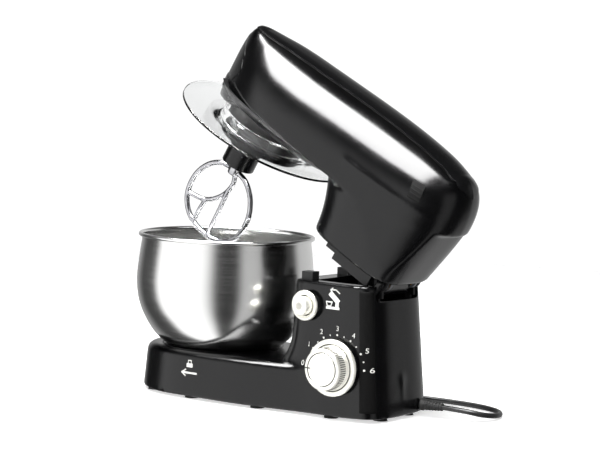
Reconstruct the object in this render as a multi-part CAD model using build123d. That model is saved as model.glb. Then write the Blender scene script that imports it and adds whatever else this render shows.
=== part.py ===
"""Tilt-head stand mixer with its bowl, flat beater and splash guard, as separate pieces.

Every piece is laid out with the head lowered and the bowl's axis on X = 0. The head's pieces are
then turned up about the hinge, and the whole machine is moved so that the middle of its box, less
the cord, is over the origin. The front is -X, the control panel faces -Y, and +Z is up.
"""
import math
import os

from build123d import *

# ---------------------------------------------------------------- driving dimensions (mm, degrees)
CENTRE_X = 125.4  # middle of the machine, measured from the bowl's axis
TILT = 30.0  # how far the head is raised at rest
PIVOT_X, PIVOT_Z = 262.0, 166.0  # hinge pin
WALL = 3.0  # thickness of the moulded casings

FOOT_H = 3.0
BASE_FRONT_R = 89.0  # rounded front of the base, about BASE_FRONT_X
BASE_FRONT_X = -15.0
BASE_REAR_X = 279.0
BASE_REAR_HALF = 68.0
DECK_Z = 60.0  # top of the base under the bowl
DECK_DRAFT = 4.0  # how far the base's walls lean in over its height
COLUMN_FRONT_X = 141.0
COLUMN_TOP_Z = 162.0
COLUMN_TOP_HALF = 61.0
COLUMN_TOP_REAR_X = 264.0
WELL_FRONT_X = 172.0  # opening in the column's top for the hinge
WELL_HALF = 46.0
WELL_REAR_Z = 143.0

SEAT_R = 66.0
BOWL_R = 113.0
BOWL_FOOT_Z = 50.0
BOWL_RIM_Z = 202.0
BOWL_WALL = 1.2

DIAL_X, DIAL_Z, DIAL_R = 221.0, 63.0, 34.5
BUTTON_X, BUTTON_Z, BUTTON_R = 175.0, 133.0, 18.5
LATCH_Y, LATCH_Z = -34.0, 146.0  # pivot of the latch lever
PANEL_Y = -71.5  # plane that the dial turns on

HEAD_EDGE_Z = 246.0  # lower edge of the head's sides
HEAD_HALF = 73.0
NECK_Z = 172.0
NECK_HALF = 60.0
GEARBOX_R = 55.0
BEATER_OFFSET = 25.5
GUARD_R = 117.0
GUARD_Z = 212.0

IDLER_X = 70.0
MOTOR_X = 206.0
MOTOR_SHAFT_R = 4.0
BELT_Z = 286.0
BELT_W = 12.0
IDLER_PULLEY_R = 42.0
MOTOR_PULLEY_R = 9.0
MAIN_TEETH, PINION_TEETH, MAIN_MODULE = 66, 14, 1.75
RING_TEETH, PLANET_TEETH, PLANET_MODULE = 54, 20, 1.5
BACKLASH = 0.5

CORD_D = 6.5
RUN_GAP = 0.05  # radial running clearance of shafts

CORD_ROUTE = [
    (309.0, 40.0, 13.2),
    (337.0, 40.0, 13.2),
    (358.0, 57.0, 7.5),
    (363.0, 85.0, 4.4),
    (349.0, 111.0, 3.9),
    (321.0, 126.0, 3.7),
    (284.0, 131.0, 3.6),
    (246.0, 129.0, 3.5),
    (210.0, 122.0, 3.4),
    (152.0, 121.5, 3.4),
]
COIL_X, COIL_Y, COIL_R = 140.0, 158.0, 36.0

os.makedirs("parts", exist_ok=True)


# ------------------------------------------------------------------------------------- helpers
def rod(radius, z0, z1, x=0.0, y=0.0):
    """Upright cylinder from z0 to z1."""
    return Pos(x, y, (z0 + z1) / 2) * Cylinder(radius, z1 - z0)


def ring(outer, inner, z0, z1, x=0.0, y=0.0):
    """Upright hollow cylinder from z0 to z1."""
    return rod(outer, z0, z1, x, y) - rod(inner, z0 - 1, z1 + 1, x, y)


def rod_y(radius, x, z, y0, y1):
    """Cylinder along Y from y0 to y1."""
    return Pos(x, (y0 + y1) / 2, z) * Rot(90, 0, 0) * Cylinder(radius, abs(y1 - y0))


def rod_x(radius, y, z, x0, x1):
    """Cylinder along X from x0 to x1."""
    return Pos((x0 + x1) / 2, y, z) * Rot(0, 90, 0) * Cylinder(radius, abs(x1 - x0))


def block(x0, x1, y0, y1, z0, z1):
    """Box between two corners."""
    return Pos((x0 + x1) / 2, (y0 + y1) / 2, (z0 + z1) / 2) * Box(x1 - x0, y1 - y0, z1 - z0)


def turned(points):
    """Solid turned about Z from a closed outline of (radius, z) points."""
    outline = Polyline(*[(r, 0, z) for r, z in points], close=True)
    return revolve(make_face(outline), Axis.Z)


def around(count, radius, x=0.0, y=0.0, start=0.0):
    """Places evenly spaced on a circle."""
    step = 2 * math.pi / count
    angles = [math.radians(start) + i * step for i in range(count)]
    return [(x + radius * math.cos(a), y + radius * math.sin(a)) for a in angles]


def both_sides(places):
    """The places and their mirror images across the middle plane."""
    return places + [(x, -y) for x, y in places]


def spread(side, near, far):
    """Low and high Y of a span that lies between near and far on one side."""
    return sorted((side * near, side * far))


def joined(pieces):
    """Separate solids kept together in one node."""
    return Compound([s for piece in pieces for s in piece.solids()])


def raised(shape):
    """Turn a head piece up about the hinge pin."""
    return Pos(PIVOT_X, 0, PIVOT_Z) * Rot(0, TILT, 0) * Pos(-PIVOT_X, 0, -PIVOT_Z) * shape


NODES = {}


def stand_piece(name, shape):
    NODES[name] = Pos(-CENTRE_X, 0, 0) * shape


def head_piece(name, shape):
    NODES[name] = Pos(-CENTRE_X, 0, 0) * raised(shape)


# ---------------------------------------------------------------------------------------- gears
def involute(angle):
    return math.tan(angle) - angle


def tooth_outline(teeth, module, tip, root, thicken=0.0, turn=0.0):
    """Closed outline of a spur gear with involute flanks, tip and root measured from the pitch."""
    pitch_r = teeth * module / 2
    base_r = pitch_r * math.cos(math.radians(20))
    half_at_pitch = math.pi / (2 * teeth) + thicken / (2 * pitch_r)
    radii = [pitch_r + root + (tip - root) * i / 4 for i in range(5)]
    flank = []
    for r in radii:
        pressure = math.acos(min(1.0, base_r / r))
        half = half_at_pitch + involute(math.radians(20)) - involute(pressure)
        flank.append((r, max(half, 0.15 / r)))
    points = []
    for i in range(teeth):
        middle = math.radians(turn) + 2 * math.pi * i / teeth
        for r, half in flank:
            points.append((r * math.cos(middle - half), r * math.sin(middle - half)))
        for r, half in reversed(flank):
            points.append((r * math.cos(middle + half), r * math.sin(middle + half)))
    return make_face(Polyline(*points, close=True))


def gear(teeth, module, z0, z1, turn=0.0):
    """External gear about Z."""
    face = tooth_outline(teeth, module, 0.8 * module, -1.15 * module, -BACKLASH / 2, turn)
    return Pos(0, 0, z0) * extrude(face, z1 - z0)


# ----------------------------------------------------------------------------------------- base
def base_plan(inset):
    """Outline of the base seen from above, set in from its outside by inset."""
    front = BASE_FRONT_R - inset
    rear_x = BASE_REAR_X - inset
    nose = ThreePointArc((BASE_FRONT_X, front), (BASE_FRONT_X - front, 0), (BASE_FRONT_X, -front))
    points = [(BASE_FRONT_X, front), (110, 84 - inset), (165, 75 - inset), (205, 70.5 - inset),
              (245, 64 - inset), (rear_x - 8, 42 - inset / 2), (rear_x, 0)]
    far = Spline(*points, tangents=[(1, 0), (0, -1)])
    near = Spline(*[(x, -y) for x, y in points], tangents=[(1, 0), (0, 1)])
    return make_face(Wire([nose, near, far]))


def column_plan(front, rear, half, radius):
    return Pos((front + rear) / 2, 0) * RectangleRounded(rear - front, 2 * half, radius)


def base_body(inset, z_low, deck, top):
    """Solid shape of the base and its column, set in by inset."""
    low = Pos(0, 0, z_low) * base_plan(inset)
    high = Pos(0, 0, deck) * base_plan(inset + DECK_DRAFT)
    plate = loft([low, high])
    foot = Pos(0, 0, z_low) * column_plan(COLUMN_FRONT_X - 3 + inset, BASE_REAR_X - inset,
                                          BASE_REAR_HALF - inset, 38 - inset)
    head = Pos(0, 0, top) * column_plan(COLUMN_FRONT_X + 2 + inset, COLUMN_TOP_REAR_X - inset,
                                        COLUMN_TOP_HALF - inset, 24 - inset)
    return plate, loft([foot, head])


def base_housing():
    plate, column = base_body(0, FOOT_H, DECK_Z, COLUMN_TOP_Z)
    rim = [e for e in plate.edges() if abs(e.center().Z - DECK_Z) < 0.1]
    plate = fillet(rim, 7)
    inner_plate, inner_column = base_body(WALL, FOOT_H - 1, DECK_Z - WALL, COLUMN_TOP_Z - WALL)
    shell = plate + column - inner_plate - inner_column
    shell -= turned([(0, 40), (SEAT_R, 40), (SEAT_R, 50.6), (73, 54.7), (78.5, 58), (78.5, DECK_Z + 1),
                     (0, DECK_Z + 1)])
    shell -= block(WELL_FRONT_X, 300, -WELL_HALF, WELL_HALF, WELL_REAR_Z, COLUMN_TOP_Z + 1)
    shell -= rod_y(26, DIAL_X, DIAL_Z, -90, -50)
    shell -= rod_y(BUTTON_R - 3, BUTTON_X, BUTTON_Z, -90, -50)
    shell -= rod_x(8, 40, 13.5, 260, 290)
    return shell


def stand():
    stand_piece("base_housing", base_housing())

    floor = Pos(0, 0, FOOT_H) * extrude(base_plan(WALL + 0.6), 2.5)
    feet = both_sides([(-62, 60), (10, 74), (110, 70), (212, 58), (264, 29)])
    screws = both_sides([(-30, 55), (60, 62), (160, 58), (250, 12)])
    for x, y in feet:
        floor -= rod(3.05, 0, 10, x, y)
    for x, y in screws:
        floor -= rod(1.7, 0, 10, x, y)
    stand_piece("bottom_plate", floor)
    pads = []
    for x, y in feet:
        cup = turned([(0, 0), (9, 0), (8, 2.2), (6, FOOT_H), (3, FOOT_H), (3, 6.5), (0, 6.5)])
        pads.append(Pos(x, y, 0) * cup)
    stand_piece("suction_feet", joined(pads))
    stand_piece("bottom_screws", joined([rod(3, 1.2, FOOT_H, x, y) + rod(1.6, FOOT_H, 12, x, y)
                                         for x, y in screws]))

    seat = turned([(0, 38), (SEAT_R - 0.2, 38), (SEAT_R - 0.2, 50.8), (72.8, 54.9), (78.3, 58.2),
                   (78.3, DECK_Z), (76, DECK_Z), (72, 56.9), (66, 53), (63, 51.5), (63, 42), (0, 42)])
    for x, y in around(3, 61):
        seat += Pos(x, y, 47.6) * Rot(0, 0, math.degrees(math.atan2(y, x))) * Box(6, 16, 2)
    stand_piece("bowl_seat", seat)

    ears = block(240, 272, -42, 42, 128, 132)
    for side in (-1, 1):
        span = spread(side, 33, 37)
        ears += block(252, 264, *span, 130, PIVOT_Z) + rod_y(10, PIVOT_X, PIVOT_Z, *span)
    ears = ears & block(236, 275, -50, 50, 120, 190)
    ears -= block(259.5, 280, -60, 60, 100, 147)
    ears -= rod_y(5, PIVOT_X, PIVOT_Z, -50, 50)
    stand_piece("hinge_bracket", ears)
    pin = rod_y(5, PIVOT_X, PIVOT_Z, -38, 38) + rod_y(6.5, PIVOT_X, PIVOT_Z, -40, -37)
    pin += rod_y(6.5, PIVOT_X, PIVOT_Z, 37, 40)
    stand_piece("hinge_pin", pin)

    posts = [block(152, 168, y - 7, y + 7, COLUMN_TOP_Z, COLUMN_TOP_Z + 9) for y in (-38, 38)]
    stand_piece("latch_posts", joined(posts))

    outer = base_body(0, FOOT_H, DECK_Z, COLUMN_TOP_Z)[1]
    cutter = base_body(1.2, FOOT_H - 1, DECK_Z, COLUMN_TOP_Z + 1)[1]
    skin = outer - cutter
    trims = [skin & block(246, 258, *spread(side, 0, 90), 8, COLUMN_TOP_Z - 4) for side in (-1, 1)]
    stand_piece("corner_trims", joined(trims))
    NODES["base_housing"] -= NODES["corner_trims"]


def controls():
    seat = rod_y(DIAL_R - 1.5, DIAL_X, DIAL_Z, PANEL_Y + 0.6, -60)
    seat -= rod_y(25.5, DIAL_X, DIAL_Z, -90, -50)
    plate, wall = base_body(0, FOOT_H, DECK_Z, COLUMN_TOP_Z)
    stand_piece("dial_bezel", seat - wall - plate)
    bezel = rod_y(BUTTON_R, BUTTON_X, BUTTON_Z, -69.5, -60)
    bezel -= wall
    neck = rod_y(BUTTON_R - 3.2, BUTTON_X, BUTTON_Z, -67.5, -56)
    bezel = bezel + neck - rod_y(12, BUTTON_X, BUTTON_Z, -90, -50)
    stand_piece("button_bezel", bezel)

    knob = rod_y(DIAL_R, DIAL_X, DIAL_Z, PANEL_Y - 5, PANEL_Y)
    knob += rod_y(27, DIAL_X, DIAL_Z, PANEL_Y - 10, PANEL_Y - 5)
    knob += rod_y(25.5, DIAL_X, DIAL_Z, PANEL_Y - 24, PANEL_Y - 10)
    knob = chamfer(knob.edges().group_by(Axis.Y)[0], 1.2)
    stand_piece("speed_dial", knob)
    shaft = rod_y(3, DIAL_X, DIAL_Z, PANEL_Y, -38)
    stand_piece("dial_shaft", shaft)
    switch = block(DIAL_X - 16, DIAL_X + 16, -54, -36, DIAL_Z - 16, DIAL_Z + 16)
    switch += rod_y(5, DIAL_X, DIAL_Z, -59, -54)
    switch -= rod_y(3 + RUN_GAP, DIAL_X, DIAL_Z, -60, -37)
    stand_piece("speed_switch", switch)
    board = block(150, 250, -33, -31.4, 20, 110)
    for x, z, tall in ((165, 40, 14), (180, 90, 9), (235, 95, 12)):
        board += block(x - 8, x + 8, -31.4, -31.4 + tall, z - 7, z + 7)
    board += block(DIAL_X - 10, DIAL_X + 10, -36, -33, DIAL_Z - 10, DIAL_Z + 10)
    stand_piece("control_board", board)

    cap = rod_y(11.6, BUTTON_X, BUTTON_Z, -81, -62)
    cap = chamfer(cap.edges().group_by(Axis.Y)[0], 1.0)
    cap += rod_y(4, BUTTON_X, BUTTON_Z, -62, -43) + rod_y(1.5, BUTTON_X, BUTTON_Z, -43, -36.2)
    cap += rod_y(7.5, BUTTON_X, BUTTON_Z, -50, -48.5)
    stand_piece("tilt_button", cap)
    coil_wire = Helix(pitch=1.5, height=3.0, radius=5.6)
    start = coil_wire @ 0
    wire_end = Plane(origin=start, z_dir=coil_wire % 0)
    spring = sweep(wire_end * Circle(0.6), path=coil_wire)
    spring = Pos(BUTTON_X, -38.8, BUTTON_Z) * Rot(90, 0, 0) * spring
    stand_piece("button_spring", spring)

    latch()


def latch():
    """Lever that the button pushes, the bracket that carries it and the switch behind it."""
    lever = block(BUTTON_X - 5, BUTTON_X + 5, -36, -31, 125, 156)
    lever += block(BUTTON_X - 5, BUTTON_X + 5, -39, -31, 152, 156)
    lever -= rod_x(1.5 + RUN_GAP, LATCH_Y, LATCH_Z, BUTTON_X - 10, BUTTON_X + 10)
    stand_piece("latch_lever", lever)
    bracket = rod_x(1.5, LATCH_Y, LATCH_Z, BUTTON_X - 9, BUTTON_X + 9)
    bracket += block(BUTTON_X - 11, BUTTON_X - 7, -37.8, -28, 125, 158.8)
    bracket += block(BUTTON_X + 7, BUTTON_X + 11, -37.8, -28, 125, 158.8)
    back = block(BUTTON_X - 11, BUTTON_X + 11, -37.8, -36.8, 125, 141)
    bracket += back - rod_y(2, BUTTON_X, BUTTON_Z, -39, -35)
    stand_piece("latch_bracket", bracket)
    stand_piece("micro_switch", block(BUTTON_X - 10, BUTTON_X + 10, -19, -10, 118, 132))


# ----------------------------------------------------------------------------------------- cord
def cord():
    inside = rod_x(7.8, 40, 13.5, 262, BASE_REAR_X + 4)
    ribs = Pos(BASE_REAR_X + 4, 40, 13.2) * Rot(0, 90, 0) * Pos(0, 0, 13) * Cone(6.8, 4.4, 26)
    boot = inside + ribs
    for i in range(4):
        boot += rod_x(7.2 - 0.6 * i, 40, 13.2, 287 + 5.6 * i, 290 + 5.6 * i)
    stand_piece("cord_boot", boot & block(255, CORD_ROUTE[0][0], 20, 60, 0, 40))
    clamp = block(236, 258, 26, 54, 5.5, 18)
    clamp -= rod_x(4.2, 40, 13.5, 230, 262)
    stand_piece("cord_clamp", clamp)

    points = [Vector(*p) for p in CORD_ROUTE]
    radii = []
    for before, here, after in zip(points, points[1:], points[2:]):
        turn = math.radians((here - before).get_angle(after - here))
        run = min((here - before).length, (after - here).length)
        radii.append(0.45 * run / math.tan(turn / 2))
    path = FilletPolyline(*points, radius=radii)
    section = Plane(origin=points[0], z_dir=path % 0) * Circle(CORD_D / 2)
    tube = sweep(section, path=path)
    section_area = math.pi * CORD_D ** 2 / 4
    print("cord's tightest bend", round(min(radii)), "mm, length", round(path.length), "mm, volume ratio",
          round(tube.volume / (section_area * path.length), 4))
    stand_piece("power_cord", tube)
    coil = ring(COIL_R + CORD_D + 0.5, COIL_R - CORD_D - 0.5, 0.2, 2 * CORD_D + 0.6, COIL_X, COIL_Y)
    stand_piece("cord_coil", coil - tube)
    body = Pos(COIL_X - 66, COIL_Y, 14) * Box(34, 26, 26)
    body = fillet(body.edges().filter_by(Axis.X), 7)
    for y in (-9.5, 9.5):
        body += rod_x(2.4, COIL_Y + y, 14, COIL_X - 102, COIL_X - 82)
    body += rod_x(4.5, COIL_Y, 9, COIL_X - 50, COIL_X - 40)
    stand_piece("plug", body - coil)


# ----------------------------------------------------------------------------------------- bowl
def bowl():
    outside = [(45, BOWL_FOOT_Z), (66, 56), (87, 72), (102, 94), (110.5, 116), (114, 142),
               (111.5, 170), (108.5, 195)]
    rim_r = outside[-1][0]
    skin = Spline(*[(r, 0, z) for r, z in outside], tangents=[(1, 0, 0.08), (-0.05, 0, 1)])
    inner = [(r - BOWL_WALL, z + (BOWL_WALL if z < 80 else 0)) for r, z in outside]
    lining = Spline(*[(r, 0, z) for r, z in inner], tangents=[(1, 0, 0.08), (-0.05, 0, 1)])
    top = Line((rim_r, 0, 195), (inner[-1][0], 0, 195))
    floor_in = Line((inner[0][0], 0, inner[0][1]), (0, 0, inner[0][1]))
    middle = Line((0, 0, inner[0][1]), (0, 0, BOWL_FOOT_Z))
    floor_out = Line((0, 0, BOWL_FOOT_Z), (outside[0][0], 0, BOWL_FOOT_Z))
    wall = revolve(make_face(Wire([skin, top, lining, floor_in, middle, floor_out])), Axis.Z)
    lip = turned([(inner[-1][0], 195), (rim_r, 195), (rim_r + 0.6, 197.6), (BOWL_R - 1, 197.6),
                  (BOWL_R, 198.6), (BOWL_R, 201), (BOWL_R - 1, BOWL_RIM_Z), (rim_r - 0.4, BOWL_RIM_Z),
                  (inner[-1][0] - 0.5, 200)])
    stand_piece("bowl", wall + lip)
    foot = ring(56, 46, 42.5, 49.6) + ring(47.5, 38, 48, BOWL_FOOT_Z)
    for x, y in around(3, 57.5):
        foot += Pos(x, y, 44.4) * Rot(0, 0, math.degrees(math.atan2(y, x))) * Box(7, 14, 3)
    stand_piece("bowl_base_ring", foot)


# ----------------------------------------------------------------------------------------- head
HEAD_STATIONS = [
    # x, half width, top
    (-84, 24, 305),
    (-66, 46, 317),
    (-36, 62, 323.5),
    (10, 71, 329),
    (80, HEAD_HALF, 334),
    (160, HEAD_HALF, 337),
    (225, 69, 333),
    (275, 56, 320),
    (302, 36, 302),
]


def head_section(x, half, top, low, inset):
    """One cross-section of the head: flat bottom, upright sides and an arched top."""
    half = half - inset
    top = top - inset
    shoulder = low + 0.45 * (top - low)
    rise = top - shoulder
    arch = Spline((x, half, shoulder), (x, 0.72 * half, shoulder + 0.74 * rise), (x, 0, top),
                  (x, -0.72 * half, shoulder + 0.74 * rise), (x, -half, shoulder),
                  tangents=[(0, 0, 1), (0, 0, -1)])
    left = Line((x, -half, shoulder), (x, -half, low))
    floor = Line((x, -half, low), (x, half, low))
    right = Line((x, half, low), (x, half, shoulder))
    return make_face(Wire([arch, left, floor, right]))


def head_volume(inset, low):
    sections = []
    for i, (x, half, top) in enumerate(HEAD_STATIONS):
        x = x + inset if i == 0 else x
        x = x - inset if i == len(HEAD_STATIONS) - 1 else x
        sections.append(head_section(x, half, top, low, inset))
    return loft(sections)


def neck_volume(inset, low):
    levels = [(low, 160, 279, NECK_HALF), (215, 156, 283, 63), (262, 146, 287, 66)]
    faces = []
    for z, front, rear, half in levels:
        outline = column_plan(front + inset, rear - inset, half - inset, 34 - inset)
        faces.append(Pos(0, 0, z) * outline)
    return loft(faces)


def head_casing():
    body = head_volume(0, HEAD_EDGE_Z) + neck_volume(0, NECK_Z)
    open_front = head_volume(WALL, HEAD_EDGE_Z - 1) & block(-120, 150, -90, 90, 240, 260)
    hollow = head_volume(WALL, HEAD_EDGE_Z + WALL) + open_front + neck_volume(WALL, NECK_Z - 1)
    return body, hollow


def head():
    body, hollow = head_casing()
    shell = body - hollow
    rear_zone = block(250, 300, -80, 80, 140, 262)
    nose_zone = block(-120, -60, -80, 80, 240, 300)
    strip_zone = block(-60, 290, -20, 20, 300, 350)
    housing = shell - rear_zone - nose_zone - strip_zone
    for side in (-1, 1):
        housing -= block(255, 269, *spread(side, 50, 90), 283, 305)
    head_piece("head_housing", housing)
    head_piece("top_cover", shell & strip_zone)
    head_piece("nose_cover", shell & nose_zone)
    tail = column_plan(160, 279, NECK_HALF, 34)
    tail -= column_plan(160 + WALL, 279 - WALL, NECK_HALF - WALL, 31)
    tongue = Pos(0, 0, NECK_Z - 19) * extrude(tail, 19.5) & block(271, 300, -46, 46, 150, NECK_Z + 0.5)
    head_piece("rear_cover", (shell & rear_zone) + tongue)
    grille = []
    for side in (-1, 1):
        frame = block(255.3, 268.7, side * 61.5 - 3, side * 61.5 + 3, 283.3, 304.7)
        for z in (286, 290.5, 295, 299.5):
            frame -= block(257, 267, side * 61.5 - 4, side * 61.5 + 4, z, z + 2.5)
        grille.append(frame)
    head_piece("vent_grilles", joined(grille))

    belly = head_belly(0) - head_belly(WALL)
    belly -= rod(GEARBOX_R + 0.3, 200, 250)
    head_piece("lower_cover", belly)
    skirt = block(175, 249, -42, 42, 152, 176) - block(178, 251, -39, 39, 150, 172.5)
    skirt -= block(170, 190, -50, 50, 140, 160)
    head_piece("hinge_skirt", skirt)

    frame = block(-46, 125, -46, 46, 256, 262)
    frame = fillet(frame.edges().filter_by(Axis.Z), 18)
    for side in (-1, 1):
        arm_span = spread(side, 25, 30)
        frame += block(105, 274, *spread(side, 43, 49), 250, 262)
        frame += block(252, 272, *arm_span, PIVOT_Z, 262) + rod_y(10, PIVOT_X, PIVOT_Z, *arm_span)
        frame += block(252, 272, *spread(side, 25, 49), 250, 262)
    frame -= rod(14, 250, 270) + rod(12, 250, 270, IDLER_X)
    frame -= rod_y(7, PIVOT_X, PIVOT_Z, -60, 60)
    head_piece("head_frame", frame)
    bushes = []
    for side in (-1, 1):
        bush = rod_y(7, PIVOT_X, PIVOT_Z, *spread(side, 25, 30))
        bush += rod_y(9, PIVOT_X, PIVOT_Z, *spread(side, 30, 32.6))
        bushes.append(bush - rod_y(5 + RUN_GAP, PIVOT_X, PIVOT_Z, -60, 60))

    case = ring(GEARBOX_R, 50.2, 203, 236) + ring(GEARBOX_R, 14, 233, 238)
    head_piece("gear_housing", case)
    teeth = tooth_outline(RING_TEETH, PLANET_MODULE, 1.15 * PLANET_MODULE, -0.8 * PLANET_MODULE,
                          BACKLASH / 2, -90)
    head_piece("ring_gear", rod(50.2, 206, 216) - Pos(0, 0, 205) * extrude(teeth, 12))
    bushes += [ring(14, 7 + RUN_GAP, 256, 262), ring(14, 7 + RUN_GAP, 230, 237.8),
               ring(12, 6 + RUN_GAP, 256, 262, IDLER_X)]
    head_piece("shaft_bearings", joined(bushes))
    posts = [(72, 41), (72, -41), (117, 28), (117, -28)]
    head_piece("head_screws", joined([rod(2, 249, 256, x, y) + rod(4, 246.5, 249, x, y)
                                      for x, y in posts]))
    motor_fixed()


def head_belly(inset):
    """Rounded underside of the head, from the nose back to the neck."""
    stations = [(-70 + inset, 38, 236), (-45, 56, 228), (20, 68, 225), (100, 69, 227),
                (145 - inset, 64, 238)]
    faces = []
    for x, half, low in stations:
        half = half - inset
        top = HEAD_EDGE_Z - 0.2 + (1 if inset else 0)
        under = Spline((x, -half, top), (x, -0.7 * half, low + inset + 4), (x, 0, low + inset),
                       (x, 0.7 * half, low + inset + 4), (x, half, top))
        faces.append(make_face(Wire([under, Line((x, half, top), (x, -half, top))])))
    return loft(faces)


def motor_fixed():
    stack = ring(38, 26, 196, 238, MOTOR_X)
    coils = []
    brushes = []
    for side in (-1, 1):
        stack -= block(MOTOR_X + side * 38 - 6, MOTOR_X + side * 38 + 6, -60, 60, 190, 240)
        slot = block(MOTOR_X - 16, MOTOR_X + 16, *spread(side, 18, 42), 190, 240)
        stack -= slot & rod(30, 190, 240, MOTOR_X)
        coils.append(block(MOTOR_X - 9, MOTOR_X + 9, *spread(side, 26.2, 28.2), 188, 246))
        brushes.append(rod_x(4, 0, 254, MOTOR_X + side * 13.5, MOTOR_X + side * 30))
    head_piece("motor_stator", stack)
    head_piece("field_coils", joined(coils))
    head_piece("brush_holders", joined(brushes))

    cage = Part()
    for low, high in ((180, 184), (262.5, 268)):
        cage += rod(12, low, high, MOTOR_X) + block(MOTOR_X - 8, MOTOR_X + 8, -36, 36, low, high)
        for side in (-1, 1):
            cage += block(MOTOR_X - 5, MOTOR_X + 5, *spread(side, 35, 42), low, high)
    cage -= rod(MOTOR_SHAFT_R + RUN_GAP, 170, 280, MOTOR_X)
    for side in (-1, 1):
        cage += block(MOTOR_X - 5, MOTOR_X + 5, *spread(side, 39, 42), 180, 268)
    head_piece("motor_brackets", cage)
    outer = belt_loop(3.0)
    inner = belt_loop(0.4)
    head_piece("drive_belt", Pos(0, 0, BELT_Z + 1) * extrude(outer - inner, BELT_W - 2))


def belt_loop(gap):
    """Area inside a loop that passes both pulleys at the given distance."""
    big = Pos(IDLER_X, 0) * Circle(IDLER_PULLEY_R + gap)
    small = Pos(MOTOR_X, 0) * Circle(MOTOR_PULLEY_R + gap)
    return make_hull(big.edges() + small.edges())


def turning_parts():
    head_piece("motor_shaft", rod(MOTOR_SHAFT_R, 176, 300, MOTOR_X))
    armature = ring(24, 4, 194, 240, MOTOR_X)
    for x, y in around(12, 24.5, MOTOR_X, 0):
        armature -= rod(1.6, 190, 244, x, y)
    head_piece("armature", armature)
    head_piece("commutator", ring(13, 4, 246, 260, MOTOR_X))
    fan = ring(9, 4, 185, 191, MOTOR_X) + ring(25, 8.9, 185, 186.2, MOTOR_X)
    for x, y in around(9, 17, MOTOR_X, 0):
        blade = Box(14, 1.4, 6)
        fan += Pos(x, y, 188) * Rot(0, 0, math.degrees(math.atan2(y, x - MOTOR_X))) * blade
    head_piece("cooling_fan", fan)
    head_piece("motor_pulley", ring(MOTOR_PULLEY_R, 4, BELT_Z, BELT_Z + BELT_W, MOTOR_X))

    pulley = ring(IDLER_PULLEY_R, 6, BELT_Z, BELT_Z + BELT_W, IDLER_X)
    for x, y in around(6, 25, IDLER_X, 0):
        pulley -= rod(8, 280, 300, x, y)
    head_piece("idler_pulley", pulley)
    head_piece("idler_shaft", rod(6, 240, 300, IDLER_X))
    pinion = gear(PINION_TEETH, MAIN_MODULE, 240, 254, 180 / PINION_TEETH) - rod(6, 230, 260)
    head_piece("idler_pinion", Pos(IDLER_X, 0, 0) * pinion)

    main = gear(MAIN_TEETH, MAIN_MODULE, 242, 252)
    for x, y in around(6, 34):
        main -= rod(10, 230, 260, x, y)
    head_piece("main_gear", main - rod(7, 230, 260))
    head_piece("carrier_shaft", rod(7, 201, 266))
    carrier = rod(53, 188, 201)
    carrier = chamfer(carrier.edges().group_by(Axis.Z)[0], 2)
    carrier -= rod(5 + RUN_GAP, 180, 210, 0, -BEATER_OFFSET)
    head_piece("planet_carrier", carrier)

    planet = gear(PLANET_TEETH, PLANET_MODULE, 206.5, 215.5) - rod(5, 200, 220)
    head_piece("planet_pinion", Pos(0, -BEATER_OFFSET, 0) * planet)
    cup = rod(21.5, 162, 186.5, 0, -BEATER_OFFSET) - rod(16, 161, 176, 0, -BEATER_OFFSET)
    cup -= rod(5, 150, 190, 0, -BEATER_OFFSET)
    head_piece("beater_cup", cup)
    head_piece("output_shaft", rod(5, 150, 219, 0, -BEATER_OFFSET)
               + rod_y(1.8, 0, 158, -BEATER_OFFSET - 9, -BEATER_OFFSET + 9))
    head_piece("beater", beater())


def beater():
    """Flat beater: a leaf-shaped loop with a slanting rib and two upright bars."""
    side = [(-6, 160), (-30, 154), (-48, 132), (-55, 108), (-50, 82), (-32, 63), (0, 54)]
    outline = side + [(-y, z) for y, z in reversed(side[:-1])]
    loop = make_face(Wire([Spline(*outline), Line(outline[-1], outline[0])]))
    inner = [(0, 150), (-27, 146), (-41, 128), (-47, 107), (-42.5, 86), (-27, 70.5), (0, 62.5)]
    hole = inner + [(-y, z) for y, z in reversed(inner[1:-1])] + [inner[0]]
    gap = make_face(Spline(*hole, tangents=[(-1, 0), (-1, 0)]))
    flat = extrude(loop - gap, 3.6, both=True)
    rib = Polyline((38, 134), (42, 126), (-44, 98), (-47, 106), close=True)
    bars = extrude(make_face(rib), 3.4, both=True)
    for y, top in ((-14, 110), (16, 120)):
        bars += Pos(y, (top + 60) / 2, 0) * Box(6.5, top - 60, 6.8)
    leaf = Rot(90, 0, 0) * (flat + bars)
    leaf = Pos(0, -BEATER_OFFSET, 0) * leaf
    hub = rod(8, 148, 161.5, 0, -BEATER_OFFSET)
    socket = rod(5, 149.8, 170, 0, -BEATER_OFFSET)
    slot = block(-2.2, 2.2, -BEATER_OFFSET - 10, -BEATER_OFFSET + 10, 155, 170)
    return leaf + hub - socket - slot


def splash_guard():
    guard = turned([(59, 205), (61.5, 205), (64, 207), (GUARD_R - 3, 211), (GUARD_R, GUARD_Z),
                    (GUARD_R, GUARD_Z + 2.4), (GUARD_R - 4, GUARD_Z + 1.6), (64, 209.2), (61.5, 210),
                    (61.5, 222), (59, 222)])
    guard += block(50, 72, -46, -26, 209, 222) & ring(72, 61, 209, 222)
    for x, y in around(3, 57.8, start=30):
        guard += Pos(x, y, 219) * Rot(0, 0, math.degrees(math.atan2(y, x))) * Box(3, 12, 2.5)
    head_piece("splash_guard", guard)


if __name__ == "__main__":
    stand()
    controls()
    cord()
    bowl()
    head()
    turning_parts()
    splash_guard()
    for name, shape in NODES.items():
        export_step(shape, f"parts/{name}.step")
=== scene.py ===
"""Tilt-head stand mixer: the finished surfaces on the working frame.

Pieces are shaped in millimetres where the maker draws them: bowl's axis on X = 0, feet on Z = 0 and
the head lowered. Each is then settled into the frame in metres, and the head's pieces turn up.
"""
import math

import bmesh
import bpy
from mathutils import Matrix, Vector


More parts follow.
